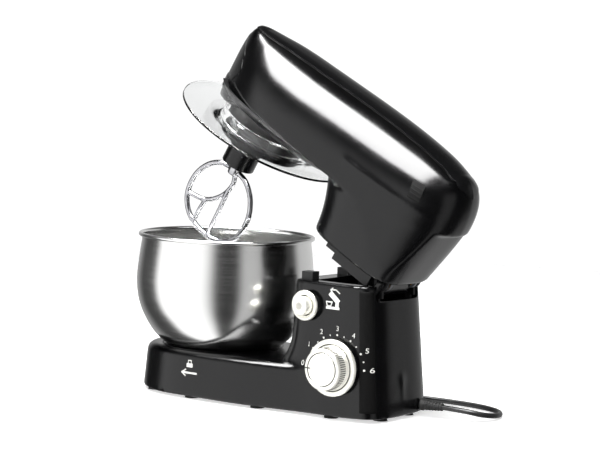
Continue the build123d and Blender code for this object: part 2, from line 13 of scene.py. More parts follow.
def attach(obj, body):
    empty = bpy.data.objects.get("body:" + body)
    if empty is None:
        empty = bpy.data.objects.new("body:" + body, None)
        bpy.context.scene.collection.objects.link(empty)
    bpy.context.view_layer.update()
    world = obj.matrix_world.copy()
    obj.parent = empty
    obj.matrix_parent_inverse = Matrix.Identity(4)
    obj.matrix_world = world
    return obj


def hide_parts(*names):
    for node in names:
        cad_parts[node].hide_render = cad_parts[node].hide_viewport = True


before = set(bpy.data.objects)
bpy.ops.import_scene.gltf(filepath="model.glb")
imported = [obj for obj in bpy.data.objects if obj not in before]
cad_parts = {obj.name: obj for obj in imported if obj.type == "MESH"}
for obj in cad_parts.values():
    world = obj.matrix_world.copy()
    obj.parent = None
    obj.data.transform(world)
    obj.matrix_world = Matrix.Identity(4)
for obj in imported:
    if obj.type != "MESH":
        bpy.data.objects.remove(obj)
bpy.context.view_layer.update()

MM = 0.001
CENTRE_X = 125.4  # from the bowl's axis to the middle of the machine
PIVOT = Vector((262.0, 0.0, 166.0))
TILT = math.radians(30)
SETTLE = Matrix.Scale(MM, 4) @ Matrix.Translation((-CENTRE_X, 0, 0))
RAISE = Matrix.Translation(PIVOT) @ Matrix.Rotation(TILT, 4, "Y") @ Matrix.Translation(-PIVOT)

PANEL_Y = -71.5
DIAL_X, DIAL_Z, DIAL_R = 221.0, 63.0, 34.5
FLUTES = 60
BUTTON_X, BUTTON_Y, BUTTON_Z, BUTTON_R = 175.0, -68.5, 133.0, 18.5
PRINT_LIFT = 1.1  # ink marks stand this far off the wall, clear of its softened corner
BEATER_Y = -25.5  # the beater's own axis, beside the head's
SEAT_R = 66.0
CORD_D = 6.5


# ---------------------------------------------------------------------------------- modelling tools
def deselect():
    bpy.ops.object.select_all(action="DESELECT")


def only(piece):
    """Select one piece and make it active."""
    deselect()
    piece.hide_set(False)
    piece.select_set(True)
    bpy.context.view_layer.objects.active = piece
    return piece


def named(name):
    piece = bpy.context.active_object
    piece.name = name
    piece.data.name = name
    return piece


def edit(piece, *steps):
    """Run edit-mode operators on everything in the piece."""
    only(piece)
    bpy.ops.object.mode_set(mode="EDIT")
    bpy.ops.mesh.select_all(action="SELECT")
    for step in steps:
        step()
    bpy.ops.object.mode_set(mode="OBJECT")
    return piece


def weld(piece, gap=0.01):
    """Merge doubled points and turn every face outwards."""
    return edit(
        piece,
        lambda: bpy.ops.mesh.remove_doubles(threshold=gap),
        lambda: bpy.ops.mesh.normals_make_consistent(inside=False),
    )


def modified(piece, kind, **settings):
    """Add one modifier and apply it."""
    only(piece)
    modifier = piece.modifiers.new(kind.title(), kind)
    for name, value in settings.items():
        setattr(modifier, name, value)
    bpy.ops.object.modifier_apply(modifier=modifier.name)
    return piece


def bevelled(piece, width, segments=3, angle=35):
    return modified(
        piece, "BEVEL", width=width, segments=segments, limit_method="ANGLE",
        angle_limit=math.radians(angle), use_clamp_overlap=True,
    )


def smoothed(piece, angle=35):
    only(piece)
    bpy.ops.object.shade_smooth_by_angle(angle=math.radians(angle))
    return piece


def joined(name, pieces):
    deselect()
    for piece in pieces:
        piece.select_set(True)
    bpy.context.view_layer.objects.active = pieces[0]
    if len(pieces) > 1:
        bpy.ops.object.join()
    return named(name)


def eased(points, steps=6, closed=False):
    """Smooth line through the points, with steps pieces to each span."""
    count = len(points)
    spans = count if closed else count - 1
    line = []
    for i in range(spans):
        if closed:
            a, b, c, d = (Vector(points[(i + k) % count]) for k in (-1, 0, 1, 2))
        else:
            a, b, c, d = (Vector(points[min(max(i + k, 0), count - 1)]) for k in (-1, 0, 1, 2))
        for j in range(steps):
            t = j / steps
            line.append(0.5 * (2 * b + (c - a) * t + (2 * a - 5 * b + 4 * c - d) * t * t
                               + (3 * b - a - 3 * c + d) * t ** 3))
    if not closed:
        line.append(Vector(points[-1]))
    return line


def along(table, x):
    """Value at x of a smooth curve through a table of (x, value)."""
    if x <= table[0][0]:
        return table[0][1]
    for (x0, v0), (x1, v1) in zip(table, table[1:]):
        if x <= x1:
            t = (x - x0) / (x1 - x0)
            return v0 + (v1 - v0) * t * t * (3 - 2 * t) if v0 != v1 else v0
    return table[-1][1]


def turned(name, profile, segments=128, closed=True):
    """Piece turned about an upright axis: a ring extruded from point to point of (radius, z)."""
    deselect()
    r, z = profile[0]
    bpy.ops.mesh.primitive_circle_add(vertices=segments, radius=max(r, 0.01), location=(0, 0, z))
    piece = named(name)
    bpy.ops.object.transform_apply()
    bpy.ops.object.mode_set(mode="EDIT")
    bpy.ops.mesh.select_all(action="SELECT")
    for (r0, z0), (r1, z1) in zip(profile, profile[1:] + (profile[:1] if closed else [])):
        bpy.ops.mesh.extrude_region_move(TRANSFORM_OT_translate={"value": (0, 0, z1 - z0)})
        k = max(r1, 0.01) / max(r0, 0.01)
        bpy.ops.transform.resize(value=(k, k, 1), center_override=(0, 0, z1))
    bpy.ops.object.mode_set(mode="OBJECT")
    return weld(piece, 0.02)


def rod(name, radius, start, end, bevel=0.4, segments=64):
    """Round bar from start to end with broken edges."""
    start, end = Vector(start), Vector(end)
    deselect()
    bpy.ops.mesh.primitive_cylinder_add(vertices=segments, radius=radius, depth=(end - start).length)
    piece = named(name)
    turn = (end - start).to_track_quat("Z", "Y").to_matrix().to_4x4()
    piece.data.transform(Matrix.Translation((start + end) / 2) @ turn)
    return bevelled(piece, bevel, 2) if bevel else piece


def block(name, low, high, bevel=0.8, segments=3):
    """Box between two corners with rounded edges."""
    low, high = Vector(low), Vector(high)
    deselect()
    bpy.ops.mesh.primitive_cube_add(size=1)
    piece = named(name)
    size = Matrix.Diagonal((*(high - low), 1))
    piece.data.transform(Matrix.Translation((low + high) / 2) @ size)
    return bevelled(piece, bevel, segments) if bevel else piece


def sheet(name, across, up, place, wrap=False):
    """Grid of faces laid over a surface: place(u, v) gives each point, u and v from 0 to 1."""
    deselect()
    bpy.ops.mesh.primitive_grid_add(x_subdivisions=across, y_subdivisions=up, size=1)
    piece = named(name)
    for v in piece.data.vertices:
        v.co = place(v.co.x + 0.5, v.co.y + 0.5)
    if wrap:
        weld(piece, 0.005)
    return piece


def capped(piece):
    """Close each open end of a tube with one face, and turn all faces outwards."""
    only(piece)
    bpy.ops.object.mode_set(mode="EDIT")
    mesh = bmesh.from_edit_mesh(piece.data)
    rims = {e for e in mesh.edges if e.is_boundary}
    while rims:
        start = rims.pop()
        loop, spot = [start.verts[0], start.verts[1]], start.verts[1]
        while True:
            edge = next((e for e in spot.link_edges if e in rims), None)
            if edge is None:
                break
            rims.remove(edge)
            spot = edge.other_vert(spot)
            if spot is loop[0]:
                break
            loop.append(spot)
        mesh.faces.new(loop)
    bmesh.update_edit_mesh(piece.data)
    bpy.ops.mesh.select_all(action="SELECT")
    bpy.ops.mesh.normals_make_consistent(inside=False)
    bpy.ops.object.mode_set(mode="OBJECT")
    return piece


def bar(name, points, radius, closed=False, steps=8, sides=10):
    """Round bar that follows a smooth line."""
    line = eased(points, steps, closed)
    curve = bpy.data.curves.new(name, "CURVE")
    curve.dimensions = "3D"
    curve.bevel_depth = radius
    curve.bevel_resolution = sides
    curve.use_fill_caps = not closed
    spline = curve.splines.new("POLY")
    spline.points.add(len(line) - 1)
    for point, place in zip(spline.points, line):
        point.co = (*place, 1)
    spline.use_cyclic_u = closed
    piece = bpy.data.objects.new(name, curve)
    bpy.context.scene.collection.objects.link(piece)
    only(piece)
    bpy.ops.object.convert(target="MESH")
    return named(name)


def cut(piece, *tools):
    """Take the tools' shapes out of the piece."""
    for tool in tools:
        only(piece)
        modifier = piece.modifiers.new("Cut", "BOOLEAN")
        modifier.operation = "DIFFERENCE"
        modifier.solver = "EXACT"
        modifier.object = tool
        bpy.ops.object.modifier_apply(modifier=modifier.name)
        bpy.data.objects.remove(tool)
    return piece


def melted(piece, voxel, passes):
    """One skin over overlapping solids, with the joins softened."""
    modified(piece, "REMESH", mode="VOXEL", voxel_size=voxel, use_smooth_shade=True)
    return modified(piece, "SMOOTH", factor=0.5, iterations=passes)


def finish(piece, material, body, raised=False, replaces=(), angle=35):
    """Give the piece its material, settle it into the frame and let it ride on its body."""
    if angle:
        smoothed(piece, angle)
    piece.data.transform(SETTLE @ RAISE if raised else SETTLE)
    piece.data.materials.clear()
    piece.data.materials.append(material)
    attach(piece, body)
    if replaces:
        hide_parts(*replaces)
    return piece


# ---------------------------------------------------------------------------------------- materials
def linear(hex_colour):
    """sRGB hex to linear RGBA."""
    parts = [int(hex_colour[i:i + 2], 16) / 255 for i in (1, 3, 5)]
    return [p / 12.92 if p <= 0.04045 else ((p + 0.055) / 1.055) ** 2.4 for p in parts] + [1.0]


def add(tree, kind, settings=None, links=None, **sockets):
    """Add a node: settings are its own options, sockets its values, links its inputs."""
    node = tree.nodes.new(kind)
    for name, value in (settings or {}).items():
        setattr(node, name, value)
    for name, value in sockets.items():
        node.inputs[name.replace("_", " ")].default_value = value
    for name, source in (links or {}).items():
        tree.links.new(source, node.inputs[name])
    return node


def surface(name, **sockets):
    """New material with a Principled shader; returns it with its tree, shader and coordinates."""
    material = bpy.data.materials.new(name)
    material.use_nodes = True
    tree = material.node_tree
    tree.nodes.clear()
    shader = add(tree, "ShaderNodeBsdfPrincipled", **sockets)
    add(tree, "ShaderNodeOutputMaterial", links={"Surface": shader.outputs["BSDF"]})
    place = add(tree, "ShaderNodeTexCoord").outputs["Object"]
    return material, tree, shader, place


def per_metre(size_mm):
    """Noise scale whose features are about size_mm across, on coordinates in metres."""
    return 1000.0 / size_mm


def grained(name, colour, spots, roughness, spread, grain_mm, bump_mm, bump, **sockets):
    """A finish whose colour, gloss and height all vary a little with the same fine grain."""
    material, tree, shader, place = surface(name, **sockets)
    grain = add(tree, "ShaderNodeTexNoise", links={"Vector": place}, Scale=per_metre(grain_mm),
                Detail=4.0, Roughness=0.55)
    tint = add(tree, "ShaderNodeValToRGB", links={"Fac": grain.outputs["Fac"]})
    tint.color_ramp.elements[0].color = linear(spots)
    tint.color_ramp.elements[0].position = 0.35
    tint.color_ramp.elements[1].color = linear(colour)
    tint.color_ramp.elements[1].position = 0.65
    tree.links.new(tint.outputs["Color"], shader.inputs["Base Color"])
    gloss = add(tree, "ShaderNodeMapRange", links={"Value": grain.outputs["Fac"]},
                From_Min=0.3, From_Max=0.7, To_Min=roughness, To_Max=roughness + spread)
    tree.links.new(gloss.outputs["Result"], shader.inputs["Roughness"])
    fine = add(tree, "ShaderNodeTexNoise", links={"Vector": place}, Scale=per_metre(bump_mm), Detail=3.0)
    relief = add(tree, "ShaderNodeBump", links={"Height": fine.outputs["Fac"]},
                 Strength=bump, Distance=0.0001)
    tree.links.new(relief.outputs["Normal"], shader.inputs["Normal"])
    return material


# Injection-moulded ABS, mould polished: deep black with the faint waviness of a high-gloss moulding.
GLOSS_ABS = grained("moulded gloss ABS", "#070708", "#050506", 0.15, 0.06, 45, 9, 0.05,
                    IOR=1.53, Specular_IOR_Level=0.3)
# The same ABS from a spark-eroded mould: a fine even texture that breaks the highlight up.
SATIN_ABS = grained("moulded satin ABS", "#0e0e0f", "#09090a", 0.34, 0.12, 2.5, 0.9, 0.5, IOR=1.53,
                    Specular_IOR_Level=0.35)
# Painted shade: the same ABS coloured near black and dull, standing in for the shade inside the side grilles
# and along the column's rear corners.
PAINTED_SHADE_ABS = grained("painted shade ABS", "#030303", "#020202", 0.5, 0.1, 4, 1.2, 0.3, IOR=1.53,
                   Specular_IOR_Level=0.1)
# Lightly smoked top panel, as glossy as the sides but greyer.
SMOKED_ABS = grained("moulded grey gloss ABS", "#0f0f10", "#0c0c0d", 0.17, 0.06, 40, 8, 0.05,
                     IOR=1.53, Specular_IOR_Level=0.3)
# Nylon gears and brush holders: ivory, waxy.
NYLON = grained("moulded nylon", "#cfccc2", "#c4c0b4", 0.4, 0.1, 6, 1.5, 0.2, IOR=1.53,
                Subsurface_Weight=0.1, Subsurface_Scale=0.002)
# Nitrile feet, boot and belt: matte with a dusty bloom.
RUBBER = grained("moulded nitrile rubber", "#161616", "#1f1f1e", 0.6, 0.15, 5, 0.7, 0.4, IOR=1.52)
# Cord sheath: extruded PVC, satin with a fine drawn texture.
PVC = grained("extruded PVC sheath", "#131314", "#19191a", 0.33, 0.1, 12, 1.2, 0.25, IOR=1.54)
# Zinc die casting straight from the die: grey with flow marks.
DIE_CAST = grained("zinc die casting", "#8c8d90", "#77787b", 0.42, 0.15, 14, 1.5, 0.5, Metallic=1.0)
# Machined steel shafts, gears and screws.
STEEL = grained("machined steel", "#a3a3a2", "#8c8c8b", 0.24, 0.12, 8, 0.8, 0.3, Metallic=1.0)
# Hinge steel, blackened in hot oxide salts: near black with a dull metal sheen.
BLACKENED = grained("black-oxide steel", "#131314", "#0b0b0c", 0.38, 0.12, 6, 1.0, 0.3, Metallic=0.7)
# Winding wire: enamelled copper with a red lacquer.
COPPER = grained("enamelled copper winding", "#a8502a", "#8a3c1e", 0.3, 0.12, 1.6, 1.0, 0.8, Metallic=1.0)
# Sintered bronze bushes.
BRONZE = grained("sintered bronze", "#a87c3a", "#8a642c", 0.36, 0.14, 3, 0.9, 0.6, Metallic=1.0)
# Circuit board: green lacquer over glass laminate.
BOARD = grained("lacquered circuit board", "#15502c", "#0f4023", 0.28, 0.12, 4, 0.8, 0.2, IOR=1.5)
# Bright satin plating on the dial and the button: near white, with a soft highlight.
PLATED = grained("satin chrome plating", "#f3f2ea", "#e9e8e0", 0.2, 0.06, 20, 1.5, 0.05, Metallic=0.55,
                 IOR=1.6)
# Pad-printed white ink.
INK = grained("pad-printed white ink", "#dcdcd8", "#cfcfca", 0.5, 0.1, 3, 0.6, 0.2)
# Cast aluminium, tumbled and polished by hand: bright with soft clouding.
POLISHED_ALUMINIUM = grained("polished cast aluminium", "#b2b2b5", "#939397", 0.12, 0.12, 9, 3, 0.25,
                             Metallic=1.0)


def brushed_steel():
    """Spun stainless sheet: fine rings from the brush as the bowl turned under it."""
    material, tree, shader, place = surface("brushed stainless steel", Metallic=1.0, Anisotropic=0.35)
    lines = add(tree, "ShaderNodeMapping", links={"Vector": place})
    lines.inputs["Scale"].default_value = (12.0, 12.0, 1600.0)  # lines 0.6 mm apart, drawn coarse
    brush = add(tree, "ShaderNodeTexNoise", links={"Vector": lines.outputs["Vector"]}, Scale=1.0,
                Detail=3.0)
    tint = add(tree, "ShaderNodeValToRGB", links={"Fac": brush.outputs["Fac"]})
    tint.color_ramp.elements[0].color = linear("#d2d2d1")
    tint.color_ramp.elements[1].color = linear("#e2e2e1")
    tree.links.new(tint.outputs["Color"], shader.inputs["Base Color"])
    gloss = add(tree, "ShaderNodeMapRange", links={"Value": brush.outputs["Fac"]},
                From_Min=0.3, From_Max=0.7, To_Min=0.14, To_Max=0.24)
    tree.links.new(gloss.outputs["Result"], shader.inputs["Roughness"])
    relief = add(tree, "ShaderNodeBump", links={"Height": brush.outputs["Fac"]}, Strength=0.08,
                 Distance=0.00005)
    tree.links.new(relief.outputs["Normal"], shader.inputs["Normal"])
    return material


def clear_guard():
    """Injection-moulded copolyester: clear, faintly grey, with fine scuffs that catch the light."""
    material, tree, shader, place = surface(
        "clear moulded copolyester", Base_Color=linear("#fbfcfc"), IOR=1.32, Transmission_Weight=1.0)
    scuff = add(tree, "ShaderNodeTexNoise", links={"Vector": place}, Scale=per_metre(6), Detail=5.0)
    gloss = add(tree, "ShaderNodeMapRange", links={"Value": scuff.outputs["Fac"]},
                From_Min=0.45, From_Max=0.75, To_Min=0.015, To_Max=0.1)
    tree.links.new(gloss.outputs["Result"], shader.inputs["Roughness"])
    relief = add(tree, "ShaderNodeBump", links={"Height": scuff.outputs["Fac"]}, Strength=0.03,
                 Distance=0.0001)
    tree.links.new(relief.outputs["Normal"], shader.inputs["Normal"])
    return material


BRUSHED = brushed_steel()
CLEAR = clear_guard()


# ------------------------------------------------------------------------------- camera and the cord
def camera():
    """Eye at hand height, in front of the dial's side, and a little tilted."""
    around, above, roll = math.radians(35.52), math.radians(4.68), math.radians(2.18)
    back = Vector((math.sin(around) * math.cos(above), -math.cos(around) * math.cos(above), math.sin(above)))
    right = Vector((math.cos(around), math.sin(around), 0))
    up = back.cross(right)
    target = Vector((114.5 - CENTRE_X, -0.5, 222.8)) * MM
    deselect()
    bpy.ops.object.camera_add()
    eye = named("camera")
    turn = Matrix((right, up, back)).transposed() @ Matrix.Rotation(roll, 3, "Z")
    eye.matrix_world = Matrix.Translation(target + back * 2.4) @ turn.to_4x4()
    eye.data.lens = 115.47
    eye.data.sensor_width = 36
    bpy.context.scene.camera = eye


CORD_ROUTE = [
    (0.309, 0.040, 0.0132),
    (0.337, 0.040, 0.0132),
    (0.358, 0.057, 0.0075),
    (0.363, 0.085, 0.0044),
    (0.349, 0.111, 0.0039),
    (0.321, 0.126, 0.0037),
    (0.284, 0.131, 0.0036),
    (0.246, 0.129, 0.0035),
    (0.210, 0.122, 0.0034),
    (0.152, 0.1215, 0.0034),
]
COIL_X, COIL_Y = 140.0, 158.0
TURNS, POINTS_PER_TURN = 3.9, 14
COIL_OUTER_R, COIL_INNER_R = 36.6, 29.9  # two rings of turns, a cord's width apart
COIL_LOW_Z, COIL_STEP_Z = 3.5, 6.6  # height of the first layer's middle, and of the next above it


def plug():
    """Two-pin plug whose body tapers towards the cord, with a moulded grip."""
    x, half = COIL_X - 66, 17
    body = block("plug_body", (x - half, COIL_Y - 13, 1.2), (x + half, COIL_Y + 13, 27), 5, 4)
    for v in body.data.vertices:
        taper = 1 - 0.22 * max(0.0, (v.co.x - x) / half)
        v.co.y = COIL_Y + (v.co.y - COIL_Y) * taper
        v.co.z = 14 + (v.co.z - 14) * taper
    pieces = [smoothed(body)]
    for i in range(4):
        ridge_x = x - 9 + i * 5
        ridge = rod("ridge", 1.1, (ridge_x, COIL_Y - 8, 26.2), (ridge_x, COIL_Y + 8, 26.2), 0.5, 16)
        pieces.append(smoothed(ridge))
    finish(joined("plug_moulding", pieces), SATIN_ABS, "stand", replaces=["plug"],
           angle=0)
    pins = []
    for side in (-9.5, 9.5):
        pins.append(rod("pin", 2.3, (x - 36, COIL_Y + side, 14), (x - 15, COIL_Y + side, 14), 0.9, 24))
    return finish(joined("plug_pins", pins), STEEL, "stand")


def cord():
    """Mains lead: out of the boot, round behind the base and into a neat coil."""
    shift = Vector((-CENTRE_X * MM, 0, 0))
    points = [Vector(p) + shift for p in CORD_ROUTE]
    for i in range(1, int(TURNS * POINTS_PER_TURN) + 1):
        part = i / POINTS_PER_TURN
        angle = -math.pi / 2 - 2 * math.pi * part
        climb = min(1.0, max(0.0, (part - 1.6) / 0.5))
        inward = min(1.0, max(0.0, part - 0.3)) - min(1.0, max(0.0, part - 2.4))
        radius = COIL_OUTER_R - (COIL_OUTER_R - COIL_INNER_R) * inward
        x, y = COIL_X + radius * math.cos(angle), COIL_Y + radius * math.sin(angle)
        points.append(Vector((x, y, COIL_LOW_Z + COIL_STEP_Z * climb)) * MM + shift)
    curve = bpy.data.curves.new("cord", "CURVE")
    curve.dimensions = "3D"
    curve.bevel_depth = CORD_D / 2 * MM
    curve.bevel_resolution = 6
    curve.resolution_u = 8
    curve.use_fill_caps = True
    spline = curve.splines.new("NURBS")
    spline.points.add(len(points) - 1)
    for point, place in zip(spline.points, points):
        point.co = (*place, 1)
    spline.order_u = 3
    spline.use_endpoint_u = True
    piece = bpy.data.objects.new("cord", curve)
    bpy.context.scene.collection.objects.link(piece)
    curve.materials.append(PVC)
    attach(piece, "stand")
    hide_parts("power_cord", "cord_coil")
    pins = plug()


camera()
cord()


def boot():
    """Tapered strain relief with ribs, moulded on the cord."""
    profile = [(3.4, 0), (7.6, 0), (7.6, 3)]
    for i in range(6):
        x = 5 + 4.2 * i
        outer = 6.6 - 0.36 * i
        profile += [(outer - 1.3, x), (outer - 1.3, x + 1.2), (outer, x + 1.7), (outer, x + 3.4)]
    profile += [(4.0, 30), (3.4, 30)]
    piece = turned("cord_boot_skin", profile, 48)
    piece.data.transform(Matrix.Translation((279, 40, 13.3)) @ Matrix.Rotation(math.pi / 2, 4, "Y"))
    finish(bevelled(piece, 0.3, 2, 40), RUBBER, "stand", replaces=["cord_boot"])


boot()


# --------------------------------------------------------------------------------------------- head
# The head by distance from the bowl's axis: its half width seen from above, then its crown's height.
HEAD_PLAN = [(-88, 0), (-84, 11), (-75, 21.5), (-59, 35), (-36, 50), (-4, 61.5), (38, 69.5), (85, 73),
             (160, 73), (215, 70), (255, 62), (284, 46), (300, 25), (304.5, 0)]
CROWN = [(-88, 317), (-60, 320.5), (-20, 324), (30, 326.5), (80, 328.5), (120, 330), (170, 331),
         (215, 330), (245, 327.5), (276, 321), (293, 314), (305, 308)]
SECTION = [(-88, 4.2), (-40, 3.0), (60, 2.6), (290, 2.4)]  # how square the head's section is
EDGE = [(-88, 246.0), (225, 246.0), (304.5, 260.0)]  # height of the dome's foot
LIP = [(-88, 31.0), (-62, 26.0), (-30, 12.0), (10, 3.0), (300, 3.0)]  # straight wall below the foot
SPINE_FRONT, SPINE_REAR = -64.0, 268.0
NECK_FOOT, NECK_TOP = 172.0, 276.0
LIP_SHARE = 0.12  # share of the side sheet's rows that the lip takes
OUTLINE = eased([(x, half, 0) for x, half in HEAD_PLAN], 8)
CROWN_LINE = eased([(x, 0, z) for x, z in CROWN], 8)


def outline_at(t):
    spot = min(max(t, 0.0), 1.0) * (len(OUTLINE) - 1)
    i = min(int(spot), len(OUTLINE) - 2)
    return OUTLINE[i].lerp(OUTLINE[i + 1], spot - i)


def crown_at(x):
    for a, b in zip(CROWN_LINE, CROWN_LINE[1:]):
        if x <= b.x:
            return a.z + (b.z - a.z) * max(0.0, (x - a.x) / (b.x - a.x))
    return CROWN_LINE[-1].z


def head_point(edge, flat, side, out=0.0):
    """Point on the head above one point of its plan: flat runs from the spine (0) to the edge (1)."""
    spine_x = min(max(edge.x, SPINE_FRONT), SPINE_REAR)
    power, foot = along(SECTION, edge.x), along(EDGE, edge.x)
    high = (1 - min(flat, 1.0) ** power) ** (1 / power)
    x = spine_x + (edge.x - spine_x) * flat * (1 + out / 60)
    return Vector((x, side * edge.y * flat * (1 + out / 60), foot + (crown_at(spine_x) - foot + out) * high))


def head_skin(t, rise, side, out=0.0):
    """Point on the head: t runs from nose to tail, rise from the dome's foot (0) to the crown (1)."""
    edge = outline_at(t)
    return head_point(edge, math.cos(rise * math.pi / 2) ** (2 / along(SECTION, edge.x)), side, out)


def head_lip(t, drop, side, out=0.0):
    """Point on the straight lip below the dome's foot: drop runs from the foot (0) to the rim (1)."""
    edge = outline_at(t)
    inward = 1 - 0.01 * drop ** 3 + out / 100
    height = along(EDGE, edge.x) - along(LIP, edge.x) * drop
    return Vector((108 + (edge.x - 108) * inward, side * edge.y * inward, height))


def head_at_height(t, z, side, out=0.0):
    """Point on the head's wall at height z."""
    edge = outline_at(t)
    foot, power = along(EDGE, edge.x), along(SECTION, edge.x)
    if z < foot:
        return head_lip(t, (foot - z) / along(LIP, edge.x), side, out)
    spine_x = min(max(edge.x, SPINE_FRONT), SPINE_REAR)
    high = min(1.0, (z - foot) / (crown_at(spine_x) - foot))
    return head_point(edge, (1 - high ** power) ** (1 / power), side, out)


def half_width(x):
    """Half the head's width at one distance from the bowl's axis."""
    for a, b in zip(OUTLINE, OUTLINE[1:]):
        if x <= b.x:
            return a.y + (b.y - a.y) * max(0.0, (x - a.x) / max(b.x - a.x, 0.001))
    return 0.0


def neck_outline(z, angle):
    """Rounded rectangle of the neck at height z, flush with the head's sides where it meets them."""
    part = min(1.0, (z - NECK_FOOT) / 90)
    front, rear, half = 146 - 30 * part ** 2, 279 + 16 * part, 62 + 12 * part
    middle, reach = (front + rear) / 2, (rear - front) / 2
    c, s = math.cos(angle), math.sin(angle)
    size = (abs(c) ** 3.8 + abs(s) ** 3.8) ** (-1 / 3.8)
    x = middle + reach * c * size
    y = half * s * size
    return Vector((x, math.copysign(min(abs(y), half_width(x) - 0.4), y), z))


def head_shell():
    """Side shell and neck in one skin, with a soft throat between them."""
    def side_place(u, v):
        side = 1 if u < 0.5 else -1
        t = 2 * u if u < 0.5 else 2 - 2 * u
        if v < LIP_SHARE:
            return head_lip(t, (LIP_SHARE - v) / LIP_SHARE, side)
        return head_skin(t, (v - LIP_SHARE) / (1 - LIP_SHARE), side)

    def neck_place(u, v):
        return neck_outline(NECK_FOOT + (NECK_TOP - NECK_FOOT) * v, 2 * math.pi * u)

    dome = sheet("dome", 240, 56, side_place, wrap=True)
    neck = sheet("neck", 96, 36, neck_place, wrap=True)
    tongue = block("tongue", (258, -44, 146), (267, 44, 180), 3)
    shell = melted(joined("head_shell", [capped(dome), capped(neck), tongue]), 2.4, 10)
    finish(shell, GLOSS_ABS, "head", raised=True, replaces=["head_housing", "rear_cover"],
           angle=0)
    return shell


def top_panel():
    """Crowned strip let into the top, pointed at the nose and the tail."""
    widths = [(-88, 0.74), (-75, 0.62), (-59, 0.47), (-36, 0.41), (0, 0.36), (40, 0.325), (85, 0.31),
              (160, 0.315), (215, 0.33), (255, 0.36), (284, 0.46), (300, 0.64), (304.5, 0.76)]

    def place(u, v):
        side = 1 if u < 0.5 else -1
        t = 2 * u if u < 0.5 else 2 - 2 * u
        edge = outline_at(t)
        return head_point(edge, along(widths, edge.x) * (1 - v), side, 1.0)

    piece = sheet("top_panel", 240, 12, place, wrap=True)
    modified(piece, "SOLIDIFY", thickness=2.4, offset=-1)
    bevelled(piece, 0.5, 3, 50)
    finish(piece, SMOKED_ABS, "head", raised=True, replaces=["top_cover"])


def nose_panel():
    """Shield on the nose: pointed above and below, widest across the middle."""
    reach = [(221, 0.12), (232, 0.5), (248, 0.86), (268, 1.0), (284, 0.86), (298, 0.5), (307, 0.12)]
    last = 0.27

    def place(u, v):
        z = 221 + 86 * v
        across = 2 * u - 1
        return head_at_height(last * along(reach, z) * abs(across), z, 1 if across >= 0 else -1, 0.8)

    piece = sheet("nose_panel", 48, 48, place)
    weld(piece, 0.002)
    modified(piece, "SOLIDIFY", thickness=2.2, offset=-1)
    bevelled(piece, 0.5, 3, 50)
    finish(piece, SMOKED_ABS, "head", raised=True, replaces=["nose_cover"])


def side_vents():
    """Slanted grille of five louvres over an opening on each side, near the tail, all in painted shade: a
    dark sheet stands in for the opening's shade.
    """
    pieces = []
    for side in (-1, 1):
        def place(u, v):
            return head_at_height(0.742 + 0.034 * u + 0.014 * (1 - v), 282 + 20 * v, side, 0.35)

        # Painted shade: this dark sheet stands where the opening's shade falls.
        shade_sheet = sheet("opening", 8, 8, place)
        pieces.append(modified(shade_sheet, "SOLIDIFY", thickness=1.0, offset=-1 if side > 0 else 1))
        for i in range(5):
            line = [head_at_height(0.743 + 0.008 * j + 0.0035 * (4 - i), 284 + 4.1 * i, side, 0.6)
                    for j in range(5)]
            pieces.append(bar("louvre", line, 0.9, steps=3, sides=4))
    finish(joined("side_vents", pieces), PAINTED_SHADE_ABS, "head", raised=True, replaces=["vent_grilles"])


head_shell()
top_panel()
nose_panel()
side_vents()


# --------------------------------------------------------------------------------- base and column
BASE_PLAN = [(-104, 0), (-98.5, 31), (-83, 57.5), (-58, 78), (-15, 89), (50, 88.5), (110, 84), (165, 75),
             (205, 70.5), (245, 64), (271, 42), (279, 0)]
BASE_LINE = eased([(x, y, 0) for x, y in BASE_PLAN], 10)
DECK_Z = 60.0
COLUMN_TOP = 162.0


def column_point(z, angle, out=0.0):
    """Point on the column's wall: a rounded rectangle that leans in as it rises and flares to the deck."""
    part = (z - 3) / (COLUMN_TOP - 3)
    front, rear, half = 138 + 5 * part, 279 - 15 * part, 68 - 7 * part
    near_deck = max(0.0, 1 - (z - (DECK_Z - 4)) / 42)
    flare = 1 - math.sqrt(max(0.0, 1 - near_deck ** 2))
    c, s = math.cos(angle), math.sin(angle)
    front -= 30 * flare * max(0.0, -c) ** 0.6
    half += 6 * flare * max(0.0, 0.4 - c) ** 0.5
    middle, reach = (front + rear) / 2, (rear - front) / 2
    size = (abs(c) ** 5 + abs(s) ** 5) ** -0.2
    return Vector((middle + (reach + out) * c * size, (half + out) * s * size, z))


def base_point(u, z):
    """Point on the base's wall, drafted and rounded over into the deck."""
    side = 1 if u < 0.5 else -1
    spot = (2 * u if u < 0.5 else 2 - 2 * u) * (len(BASE_LINE) - 1)
    i = min(int(spot), len(BASE_LINE) - 2)
    edge = BASE_LINE[i].lerp(BASE_LINE[i + 1], spot - i)
    lean = 4 * (z - 3) / (DECK_Z - 3)
    over = max(0.0, (z - (DECK_Z - 9)) / 9)
    lean += 9 * (1 - math.sqrt(max(0.0, 1 - over ** 2)))
    scale = 1 - lean / 92
    return Vector((85 + (edge.x - 85) * (1 - lean / 190), side * edge.y * scale, z))


def base_shell():
    """Base and column in one skin, with the seat's recess and the hinge well cut into it."""
    plate = sheet("plate", 220, 24, lambda u, v: base_point(u, 3 + 57 * v ** 0.7), wrap=True)
    column = sheet("column", 180, 50, lambda u, v: column_point(4 + 158 * v, 2 * math.pi * u), wrap=True)
    shell = melted(joined("base_shell", [capped(plate), capped(column)]), 2.3, 10)
    recess = rod("recess", SEAT_R, (0, 0, DECK_Z - 24), (0, 0, DECK_Z + 4), 0)
    well = block("well", (172, -46, 143), (300, 46, 170), 5)
    hollow = block("hollow", (228, -30, 110), (262, 30, 150), 4)
    pocket = rod("pocket", 12.3, (BUTTON_X, -80, BUTTON_Z), (BUTTON_X, -29, BUTTON_Z), 0)
    cut(shell, recess, well, hollow, pocket)
    finish(shell, GLOSS_ABS, "stand", replaces=["base_housing"], angle=30)


